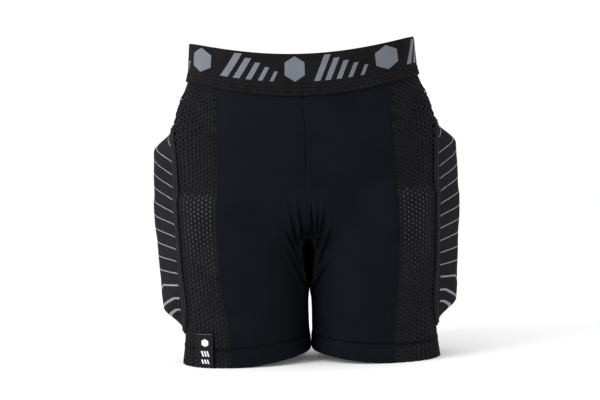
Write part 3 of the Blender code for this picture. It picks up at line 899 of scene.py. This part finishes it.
class HipPad(Pad):
    seen_at = staticmethod(leg_point)
    half_width = 0.057
    half_height = 0.1385
    middle_z = 0.1795
    front_angle = -24.0
    back_angle = 50.0
    toe_swing = 7.0
    dome_low = 0.0250
    dome_more = 0.0052

    def dome(self, up):
        return self.dome_low + self.dome_more * (1 - up * up)

    def angle(self, across, up):
        toe = self.toe_swing * smooth_step((-up - 0.35) / 0.4)
        return between((across + 1) / 2, self.front_angle - toe, self.back_angle)


class TailbonePad(Pad):
    seen_at = staticmethod(waist_point)
    squareness = 2.8
    half_width = 0.056
    half_height = 0.064
    middle_z = 0.262
    half_angle = 24.0
    taper = 0.18
    dome_height = 0.0165
    shoulder = 0.024

    def dome(self, up):
        return self.dome_height + 0 * up

    def angle(self, across, up):
        return 90.0 - self.half_angle * across * (1 + self.taper * up)


HIP, TAILBONE = HipPad(), TailbonePad()


def cloth_settled(pad, outer, inset):
    """The cover's cloth after it settles under a little pressure, held along its binding."""
    made = Surface(outer)
    away = pad.place(0.0, 0.0, 0.1) - outer[made.middle]
    faces = grid_quads(*outer.shape[:2])
    if made.normals[made.middle] @ away < 0:
        faces = faces[:, ::-1]
    mesh = bpy.data.meshes.new("settling")
    mesh.from_pydata(outer.reshape(-1, 3), [], faces)
    cloth = link("settling", mesh)
    held = np.flatnonzero(inset.ravel() < pad.cover_from + 0.0010).tolist()
    cloth.vertex_groups.new(name="held").add(held, 1.0, "REPLACE")
    modifier = cloth.modifiers.new("cloth", "CLOTH")
    for key, value in CLOTH_SETTINGS.items():
        setattr(modifier.settings, key, value)
    modifier.settings.effector_weights.gravity = 0.0
    modifier.collision_settings.use_collision = False
    modifier.point_cache.frame_start, modifier.point_cache.frame_end = 1, SETTLE_FRAMES
    scene = bpy.context.scene
    for frame_number in range(1, SETTLE_FRAMES + 1):
        scene.frame_set(frame_number)
    settled = cloth.evaluated_get(bpy.context.evaluated_depsgraph_get()).data
    places = np.empty(len(settled.vertices) * 3)
    settled.vertices.foreach_get("co", places)
    moved = places.reshape(outer.shape) - outer
    bpy.data.objects.remove(cloth)
    bpy.data.meshes.remove(mesh)
    scene.frame_set(1)
    return outer + moved / (1 + np.linalg.norm(moved, axis=2, keepdims=True) / MOST_MOVED)


def add_cover(name, pad, counts, flip, seed):
    """The cover over its foam: domed, eased by small dimples and puckers towards the binding."""
    across, up = pad.grid(*counts, pad.cover_from - 0.0016)
    height, inset = pad.height_at(across, up), pad.inset_of(across, up)
    base = pad.place(across, up, 0.0)
    around = np.arctan2(up * pad.half_height, across * pad.half_width)
    pucker = np.exp(-(((inset - 0.012) / 0.005) ** 2)) * np.sin(around * 46 + 3 * ripple(base, 0.03, seed))
    height = height + 0.00018 * pucker + 0.00055 * ripple(base, 0.028, seed)
    height = np.where(inset < pad.cover_from, np.minimum(height, pad.base_height - 0.0008), height)
    if pad.settled is None:
        pad.settled = cloth_settled(pad, pad.place(across, up, height), inset)
    uv = np.stack([across * pad.half_width, up * pad.half_height], axis=2)
    return add_grids(name, pad.settled, pad.place(across, up, 0.0022), flip, uv)


# The binding's section, as distances inside the outline and heights off the body.
TAPE_SECTION = (
    (-0.0026, 0.0010), (-0.0030, 0.0020), (-0.0024, 0.0029), (-0.0008, 0.0032), (0.0000, 0.0036),
    (0.0006, 0.0045), (0.0016, 0.0049), (0.0036, 0.0050), (0.0058, 0.0051), (0.0074, 0.0053),
    (0.0082, 0.0048), (0.0083, 0.0030), (0.0080, 0.0016), (-0.0026, 0.0010),
)
TAPE_ROWS = ((-0.0016, 0.0034), (0.0020, 0.0052), (0.0062, 0.0053))  # of stitches along it


def add_binding(name, pad, flip):
    """Folded tape round the pad: a soft, slightly crowned band with a rolled outer edge."""
    rings, uv = [], []
    for k, (inset, height) in enumerate(TAPE_SECTION):
        a, b, along = pad.ring(inset, 420)
        rings.append(pad.place(a, b, height))
        uv.append(np.stack([along, np.full(len(along), 0.0012 * (k % (len(TAPE_SECTION) - 1)))], axis=1))
    points = np.stack(rings) * np.array([flip, 1, 1])
    made = add_mesh(name, points, grid_quads(*points.shape[:2]), np.stack(uv))
    mend(made.data, 2e-5)
    return made


# -------- threads


def stitch_shape():
    """One stitch: a short plump thread along its first axis, flattened underneath."""
    rings = ((-0.5, 0.25), (-0.36, 0.75), (-0.12, 1.0), (0.12, 1.0), (0.36, 0.75), (0.5, 0.25))
    turn = np.linspace(0, 2 * math.pi, 7)[:-1]
    points = [(x, 0.5 * r * math.cos(t), 0.5 * r * math.sin(t)) for x, r in rings for t in turn]
    faces = [
        (6 * k + i, 6 * k + (i + 1) % 6, 6 * k + 6 + (i + 1) % 6, 6 * k + 6 + i)
        for k in range(len(rings) - 1)
        for i in range(6)
    ]
    last = 6 * (len(rings) - 1)
    ends = [(5, 4, 3, 2), (5, 2, 1, 0)]
    ends += [(last, last + k, last + k + 1, last + k + 2) for k in (1, 3)]
    return np.array(points), np.array(faces + ends)


STITCH_POINTS, STITCH_FACES = stitch_shape()


# Each kind of stitch: spacing along its seam, length and thickness.
HEM_ROW = (0.0026, 0.0021, 0.00070)
HEM_ZIGZAG = (0.0014, 0.0026, 0.00050)
SIDE_STITCH = (0.0028, 0.0022, 0.00042)
FLATLOCK_LOOP = (0.0016, 0.0024, 0.00080)
FLATLOCK_TOP = (0.0013, 0.0036, 0.00070)
BAND_STITCH = (0.0033, 0.0030, 0.00055)
BINDING_STITCH = (0.0031, 0.0022, 0.00062)
LABEL_STITCH = (0.0020, 0.0015, 0.0005)

SEW_LIFT = 0.0002  # of a seam's threads off the cloth
HEM_ROW_OFF = 0.0013  # of each hem row from the zigzag between them
SIDE_STITCH_IN = 0.0035  # from a panel's side edge
FLATLOCK_ROWS = (0.0018, 0.0044, 0.0070, 0.0096, 0.0122)  # from the gusset's edge
FLATLOCK_FROM_Z = 0.098


class Threads:
    """Collects stitches and makes them one object."""

    def __init__(self, name, material, slot):
        self.name, self.material, self.slot = name, material, slot
        self.points, self.count = [], 0

    def row(self, line, ups, spacing, length, thick, slant=0.0, flip=1.0):
        """Stitches at even spacing along a line of points, each turned by slant degrees."""
        far = np.concatenate([[0], np.cumsum(np.linalg.norm(np.diff(line, axis=0), axis=1))])
        count = max(1, int(far[-1] / spacing))
        at = (np.arange(count) + 0.5) * far[-1] / count

        def read(values, where):
            return np.stack([np.interp(where, far, values[:, k]) for k in range(3)], axis=1)

        middles, ups = read(line, at), read(ups, at)
        alongs = read(line, np.minimum(at + 2e-4, far[-1])) - read(line, np.maximum(at - 2e-4, 0))
        alongs, turn = unit(alongs), math.radians(slant)
        alongs = unit(alongs * math.cos(turn) + np.cross(ups, alongs) * math.sin(turn))
        acrosses = unit(np.cross(ups, alongs))
        frames = np.stack([alongs, acrosses, np.cross(alongs, acrosses)], axis=1)
        shape = STITCH_POINTS * np.array([length, thick, thick * 0.8])
        points = middles[:, None, :] + np.einsum("kc,ncd->nkd", shape, frames)
        self.points.append(points.reshape(-1, 3) * np.array([flip, 1, 1]))
        self.count += count

    def finish(self, body="shorts"):
        start = np.arange(self.count)[:, None, None] * len(STITCH_POINTS)
        mesh = bpy.data.meshes.new(self.name)
        mesh.from_pydata(np.concatenate(self.points), [], (STITCH_FACES[None] + start).reshape(-1, 4))
        mesh.shade_smooth()
        dress(link(self.name, mesh), self.material, self.slot, body=body)


def line_on(surface, u, v, lift):
    """Points and normals along a line on a surface."""
    u, v = np.broadcast_arrays(np.asarray(u, float), np.asarray(v, float))
    lift = lift(u, v) if callable(lift) else np.full(u.shape, lift)
    return surface.at(u, v, lift), surface.normal(u, v)


def add_panel_threads():
    """Hem coverstitch and side seams."""
    threads = Threads("panel_threads", THREAD, "stretch_knit")
    whole, knit_lift = np.linspace(0, 1, 400), CLOTH + SEW_LIFT
    for _, flip in SIDES:
        hems = (front_surface, knit_lift), (side_surface, 0.0014), (back_surface, knit_lift)
        for surface, lift in hems:
            for off in (-HEM_ROW_OFF, HEM_ROW_OFF):
                line = line_on(surface, whole, HEM_DEEP / surface.tall + off / surface.tall, lift)
                threads.row(*line, *HEM_ROW, flip=flip)
            line = line_on(surface, whole, HEM_DEEP / surface.tall, lift - 0.00015)
            threads.row(*line, *HEM_ZIGZAG, slant=62, flip=flip)
        for surface in (front_surface, back_surface):
            u = abs(1 - surface.inner_edge() - SIDE_STITCH_IN / surface.wide)
            line = line_on(surface, u, np.linspace(0.0, 0.975, 500), CLOTH + SEW_LIFT / 2)
            threads.row(*line, *SIDE_STITCH, flip=flip)
    threads.finish()


def add_gusset_threads():
    """Flatlock: rows of slanting loops beside the gusset's edge, and over its top."""
    threads = Threads("gusset_threads", FLATLOCK, "stretch_knit")
    for (_, flip), front_folds in zip(SIDES, (FOLDS_LEFT, FOLDS_RIGHT)):
        edges = (front_surface, FLATLOCK_ROWS, front_folds), (back_surface, FLATLOCK_ROWS[:2], None)
        for surface, rows, folds in edges:
            inner, cloth = surface.inner_edge(), panel_lift(surface, 1.0 + flip, folds)
            lift = lambda u, v: cloth(u, v) + 0.0003
            for k, off in enumerate(rows):
                v = np.linspace(FLATLOCK_FROM_Z + off, GUSSET_TOP_Z - 0.001, 200) / LEVEL_TO
                line = line_on(surface, abs(inner - off / surface.wide), v, lift)
                threads.row(*line, *FLATLOCK_LOOP, slant=50 if k % 2 else -50, flip=flip)
            u = np.abs(inner - np.linspace(0.001, 0.0105, 40) / surface.wide)
            line = line_on(surface, u, (GUSSET_TOP_Z + 0.0030) / LEVEL_TO, lift)
            threads.row(*line, *FLATLOCK_TOP, slant=62, flip=flip)
    threads.finish()


# -------- waistband

RIB_TALL = 0.0150
RIB_PITCH = 0.0022
BAND_LOW, BAND_HIGH = 0.0023, 0.0037
BAND_ROWS = ((0.0036, 68), (0.0078, -68), (0.0122, 68))  # heights of stitches, and their slants
MOTIFS = 6
MOTIF_RAISED, MOTIF_SUNK = 0.00022, 0.0004  # above and below the elastic's face
MOTIF_SHIFT = -0.0457


def add_waistband():
    """Woven elastic with rounded edges; its lower strip is ribbed upright."""
    tall = band_surface.tall
    ribs_v = RIB_TALL / tall
    v = [[0, 0.006, 0.02], steps(0.03, ribs_v, 0.03), steps(ribs_v + 0.01, 0.97, 0.05), [0.985, 0.995, 1.0]]

    def high(u, v):
        ribbed = smooth_step((ribs_v - v) / 0.02) * smooth_step(v / 0.03)
        ribs = 0.00042 * ribbed * np.cos(u * 2 * math.pi * round(band_surface.wide / RIB_PITCH))
        groove = -0.0003 * np.exp(-(((v - ribs_v) / 0.012) ** 2))
        edge = -0.0005 * np.exp(-((np.minimum(v, 1 - v) / 0.012) ** 2))
        return BAND_HIGH + ribs + groove + edge

    u = np.linspace(0, 1, 1537)
    band = add_sheet("waistband_elastic", band_surface, u, np.unique(np.concatenate(v)), BAND_LOW, high)
    mend(band.data, 1e-5)
    dress(band, ELASTIC, "elastic_waistband", "waistband")


def add_band_threads():
    """Slanting coverstitch along the ribbed strip of the waistband."""
    threads = Threads("waistband_threads", BAND_THREAD, "elastic_waistband")
    for height, slant in BAND_ROWS:
        v = height / band_surface.tall
        line = line_on(band_surface, np.linspace(0, 1, 1200), v, BAND_HIGH + 0.0001)
        threads.row(*line, *BAND_STITCH, slant=slant)
    threads.finish()


def hexagon(x, y, half_wide, half_tall):
    turn = np.radians(60 * np.arange(6) + 30)
    return np.stack([x + half_wide * np.cos(turn), y + half_tall * np.sin(turn)], axis=1)


def motif_outlines():
    """A generic trim: a hexagon, then leaning bars that grow shorter and thinner."""
    outlines = [hexagon(-0.0440, 0.0, 0.0185, 0.0165)]
    for k in range(5):
        tall, half, middle = 0.0330 - 0.0050 * k, 0.0050 - 0.0006 * k, -0.0085 + 0.0165 * k
        corners = ((-half, 0.0), (half, 0.0), (half + 0.55 * tall, tall), (0.55 * tall - half, tall))
        outlines.append(np.array(corners) + np.array([middle, -0.0165]))
    return outlines


def fill_patch(form, points):
    """A thin raised patch in the band's flat coordinates, cut fine enough to bend with it."""
    verts = [form.verts.new((x, y, BAND_HIGH + MOTIF_RAISED)) for x, y in points]
    face = form.faces.new(verts)
    geometry = [face] + list(face.edges) + verts
    low, high = points[:, 0].min(), points[:, 0].max()
    for x in np.arange(low + 0.002, high, 0.002):
        cut = bmesh.ops.bisect_plane(form, geom=geometry, plane_co=(x, 0, 0), plane_no=(1, 0, 0))
        geometry = cut["geom"]
    faces = [g for g in geometry if isinstance(g, bmesh.types.BMFace)]
    made = bmesh.ops.extrude_face_region(form, geom=faces)
    for vert in made["geom"]:
        if isinstance(vert, bmesh.types.BMVert):
            vert.co.z = BAND_HIGH - MOTIF_SUNK


def add_motifs():
    """The woven grey trim, raised a thread's width from the elastic."""
    form = bmesh.new()
    tall, wide = band_surface.tall, band_surface.wide
    for k in range(MOTIFS):
        middle = ((k + 0.5) / MOTIFS + MOTIF_SHIFT) * wide, RIB_TALL + (tall - RIB_TALL) / 2
        for outline in motif_outlines():
            fill_patch(form, outline + np.array(middle))
    made = add_form("waistband_motifs", form, lambda place: place.xy)
    flat = np.array([vert.co[:] for vert in made.data.vertices])
    places = band_surface.at(flat[:, 0] / wide, flat[:, 1] / tall, flat[:, 2])
    made.data.vertices.foreach_set("co", places.ravel())
    made.data.update()
    dress(made, MOTIF_YARN, "elastic_waistband")


# -------- pads and their lines

# Reflective lines on a hip pad. The upper ones arch from the front edge over the side to the
# back edge; the last three run level from each edge and then dip in a V under the others.
ARCH_COUNT = 11
ARCH_TOP_Z = 0.2845
ARCH_PITCH = 0.01636
ARCH_RISE = (0.0450, 0.0095)  # of the first arch and of the last
LINE_WIDE = (0.0006, 0.0013)  # of the first line and of the last arch
ARCH_SOFT = 0.06  # how round the arches are at their tops
ARCH_END = 0.894
SHORT_Z, SHORT_RISE, SHORT_STOP = 0.2955, 0.036, 0.42  # the first line, broken off in the middle
DIPS = ((0.1060, 0.52, 0.0022, 0.0), (0.0890, 0.72, 0.0026, 0.0), (0.0735, 0.70, 0.0026, 0.44))
DIP_DEEP = 0.030
ARCH_MARGIN, DIP_MARGIN = 0.0008, 0.0018  # of cover left beyond the ends of a line
FILM_LIFT = 0.00016
FILM_THICK = 0.00045


def line_places(across):
    """Heights along each line, its width, its margin, and the middle part left out."""
    arch = (ARCH_END - np.sqrt(across**2 + ARCH_SOFT)) / (ARCH_END - math.sqrt(ARCH_SOFT))
    lines = [(SHORT_Z + SHORT_RISE * arch, LINE_WIDE[0], ARCH_MARGIN, SHORT_STOP)]
    for k in range(ARCH_COUNT):
        share = k / (ARCH_COUNT - 1)
        z = ARCH_TOP_Z - ARCH_PITCH * k + between(share, *ARCH_RISE) * arch
        lines.append((z, between(share, *LINE_WIDE), ARCH_MARGIN, 0.0))
    for front, bend, width, stop in DIPS:
        z = front - DIP_DEEP * np.maximum(1 - np.abs(across) / bend, 0.0)
        lines.append((z, width, DIP_MARGIN, stop))
    return lines


def laid_on(cover, across, up):
    """Points on the hip cover's outer face, found from outside, and the way out there."""
    high = HIP.place(across, up, HIP.height_at(across, up) + 0.012)
    inward = unit(HIP.place(across, up, 0.001) - high)
    found = high + inward * 0.012
    for k in range(len(high)):
        hit = cover.ray_cast(Vector(high[k]), Vector(inward[k]), 0.06)[0]
        if hit is not None:
            found[k] = hit
    return found, -inward


def pad_ribbon(form, cover, across, up, width, flip):
    """A thin strip along a line, laid on the pad's cover."""
    slope = np.gradient(up * HIP.half_height) / np.gradient(across * HIP.half_width)
    half_up = width / 2 * np.sqrt(1 + slope**2) / HIP.half_height
    laid = [laid_on(cover, across, up + share * half_up) for share in (1, 0, -1)]
    verts = [
        form.verts.new(p * np.array([flip, 1, 1]))
        for lift in (FILM_LIFT, FILM_LIFT - FILM_THICK)
        for points, out in laid
        for p in points + out * lift
    ]
    for quad in sheet_quads(3, len(across)):
        form.faces.new([verts[i] for i in quad])


def runs_of(keep):
    """Slices of the unbroken stretches where keep is true."""
    turns = np.flatnonzero(np.diff(np.concatenate([[0], keep.astype(int), [0]])))
    return [slice(a, b) for a, b in zip(turns[::2], turns[1::2]) if b - a > 4]


def add_pad_lines(cover):
    across = np.linspace(-0.93, 0.93, 121)
    for name, flip in SIDES:
        form = bmesh.new()
        for z, width, margin, stop in line_places(across):
            up = (z - HIP.middle_z) / HIP.half_height
            inset = HIP.inset_of(across, np.clip(up, -0.995, 0.995))
            keep = (inset > HIP.cover_from + margin) & (np.abs(up) < 0.97) & (np.abs(across) >= stop)
            for run in runs_of(keep):
                pad_ribbon(form, cover, across[run], up[run], width, flip)
        dress(add_form(f"hip_pad_lines_{name}", form), FILM, "pad_cover")


def add_pad(threads, pad, name, side, counts, flip, seed):
    """A padded cover, its binding and the binding's stitches; returns the cover's outer face."""
    cover = add_cover(f"{name}{side}_padding", pad, counts, flip, seed)
    mesh = cover.data
    corners = [vert.co[:] for vert in mesh.vertices]
    outer_face = BVHTree.FromPolygons(corners, [face.vertices[:] for face in mesh.polygons])
    dress(cover, COVER, "pad_cover", f"{name}_cover{side}", f"{name}_foam{side}")
    tape = add_binding(f"{name}{side}_tape", pad, flip)
    dress(tape, TAPE, "pad_binding", f"{name}_binding{side}")
    for inset, height in TAPE_ROWS:
        a, b, _ = pad.ring(inset, 700)
        line, above = (pad.place(a, b, height + more) for more in (0.0, 0.002))
        threads.row(line, unit(above - line), *BINDING_STITCH, flip=flip)
    return outer_face


def add_pads():
    threads = Threads("pad_binding_threads", TAPE_THREAD, "pad_binding")
    faces = [add_pad(threads, HIP, "hip_pad", f"_{name}", (81, 141), flip, 4.0) for name, flip in SIDES]
    add_pad(threads, TAILBONE, "tailbone_pad", "", (61, 61), 1.0, 9.0)
    threads.finish()
    add_pad_lines(faces[0])


# -------- labels


LABEL_HALF_THICK = 0.00035
MARK_LIFTS = (0.0005, 0.0002)  # of a mark's two faces off the label's middle
LABEL_STITCH_DROP = 0.0022  # below the hinge


def add_label(node, material, marks, ink, slot):
    """A label hung from its hinge, with raised marks; a mark is a list of (u, v) shares."""
    low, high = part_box(node)
    joint = next(j for j in frame["joints"] if j["child"] == node)
    along = np.array(joint["axis"])
    out = np.cross(along, (0.0, 0.0, -1.0))
    tall = high[2] - low[2]
    wide = np.hypot(high[0] - low[0], high[1] - low[1]) - 0.0012

    def place(u, v, lift):
        curl = 0.0008 * (v**2) - 0.0004 * np.cos(2 * math.pi * u) * v + lift
        parts = ((along, u * wide), (np.array([0, 0, -1.0]), v * tall), (out, curl))
        return np.array(joint["pos_m"]) + sum(np.asarray(far)[..., None] * way for way, far in parts)

    v, u = np.meshgrid(np.linspace(0, 1, 25), np.linspace(-0.5, 0.5, 17), indexing="ij")
    uv = np.stack([u * wide, v * tall], axis=2)
    faces = (place(u, v, lift) for lift in (LABEL_HALF_THICK, -LABEL_HALF_THICK))
    label = add_grids(f"{node}_tape", *faces, 1.0, uv)
    dress(label, material, slot, node, body=node)
    form = bmesh.new()
    for corners in marks:
        upper, under = (
            [form.verts.new(place(u, v, lift)) for u, v in corners] for lift in MARK_LIFTS
        )
        form.faces.new(upper)
        form.faces.new(under[::-1])
        for a, b, c, d in zip(upper, under, under[1:] + under[:1], upper[1:] + upper[:1]):
            form.faces.new([a, b, c, d])
    made = add_form(f"{node}_marks", form, lambda co: (co.dot(Vector(along)), co.z))
    dress(made, ink, slot, body=node)
    threads = Threads(f"{node}_stitches", PALE_THREAD, slot)
    line = place(np.linspace(-0.46, 0.46, 40), 0.0, 0.0006) - np.array([0, 0, LABEL_STITCH_DROP])
    threads.row(line, np.broadcast_to(out, line.shape), *LABEL_STITCH)
    threads.finish(node)


def slanted(u, v, wide, tall, lean):
    signs = ((-1, 1), (1, 1), (1, -1), (-1, -1))
    return [(u + a * wide / 2 - b * lean, v + b * tall / 2) for a, b in signs]


def hem_label_marks():
    bars = [
        slanted(-0.17 + 0.17 * k, v, 0.09, tall, lean)
        for v, tall, lean in ((0.62, 0.16, 0.05), (0.85, 0.12, 0.04))
        for k in range(3)
    ]
    return [hexagon(0.0, 0.30, 0.24, 0.115)] + bars


def care_label_marks():
    return [slanted(0.0, 0.25 + 0.13 * k, 0.7 - 0.12 * (k % 2), 0.035, 0.0) for k in range(5)]


# -------- studio and camera

FLOOR = 7.0  # half the floor's width
CAMERA_FAR = 2.1
CAMERA_HIGH = 0.280
VIEW_WIDE = 0.810  # width of the view at the middle of the shorts
AIM = (-0.0089, BODY_Y, 0.2133)
CAMERA_ROLL = -1.885


def add_light(name, place, size, power):
    lamp = bpy.data.lights.new(name, "AREA")
    lamp.size, lamp.energy = size, power
    made = link(name, lamp)
    made.location = place
    made.rotation_euler = (Vector((0.0, 0.0, 0.22)) - Vector(place)).to_track_quat("-Z", "Y").to_euler()


def add_studio():
    """A pale paper floor, a bright even room and two soft lights."""
    mesh = bpy.data.meshes.new("paper_floor")
    corners = [(x * FLOOR, y * FLOOR, 0.0) for x, y in ((-1, -1), (1, -1), (1, 1), (-1, 1))]
    mesh.from_pydata(corners, [], [(0, 1, 2, 3)])
    paper = link("paper_floor", mesh)
    paper.data.materials.append(studio_paper("studio_paper"))
    world = bpy.data.worlds.new("studio")
    world.use_nodes = True
    background = world.node_tree.nodes["Background"]
    background.inputs[0].default_value, background.inputs[1].default_value = (1.0, 1.0, 1.0, 1.0), 1.06
    bpy.context.scene.world = world
    add_light("key", (-1.7, -1.2, 1.3), 1.3, 44.0)
    add_light("fill", (1.7, -1.5, 0.9), 1.4, 5.0)
    bpy.context.scene.view_settings.view_transform = "Standard"


def add_camera():
    lens = bpy.data.cameras.new("camera")
    lens.sensor_width = 36.0
    lens.lens = 36.0 * CAMERA_FAR / VIEW_WIDE
    made = link("camera", lens)
    made.location = place = Vector((AIM[0], BODY_Y - CAMERA_FAR, CAMERA_HIGH))
    aim = (Vector(AIM) - place).to_track_quat("-Z", "Y")
    made.rotation_mode = "QUATERNION"
    made.rotation_quaternion = Quaternion(aim @ Vector((0, 0, 1)), math.radians(CAMERA_ROLL)) @ aim
    bpy.context.scene.camera = made


add_camera()
add_studio()
add_panels()
add_side_meshes()
add_linings()
add_pads()
add_waistband()
add_motifs()
add_band_threads()
add_panel_threads()
add_gusset_threads()
add_label("hem_label", LABEL, hem_label_marks(), LABEL_INK, "woven_label")
add_label("care_label", CARE, care_label_marks(), CARE_INK, "care_label")
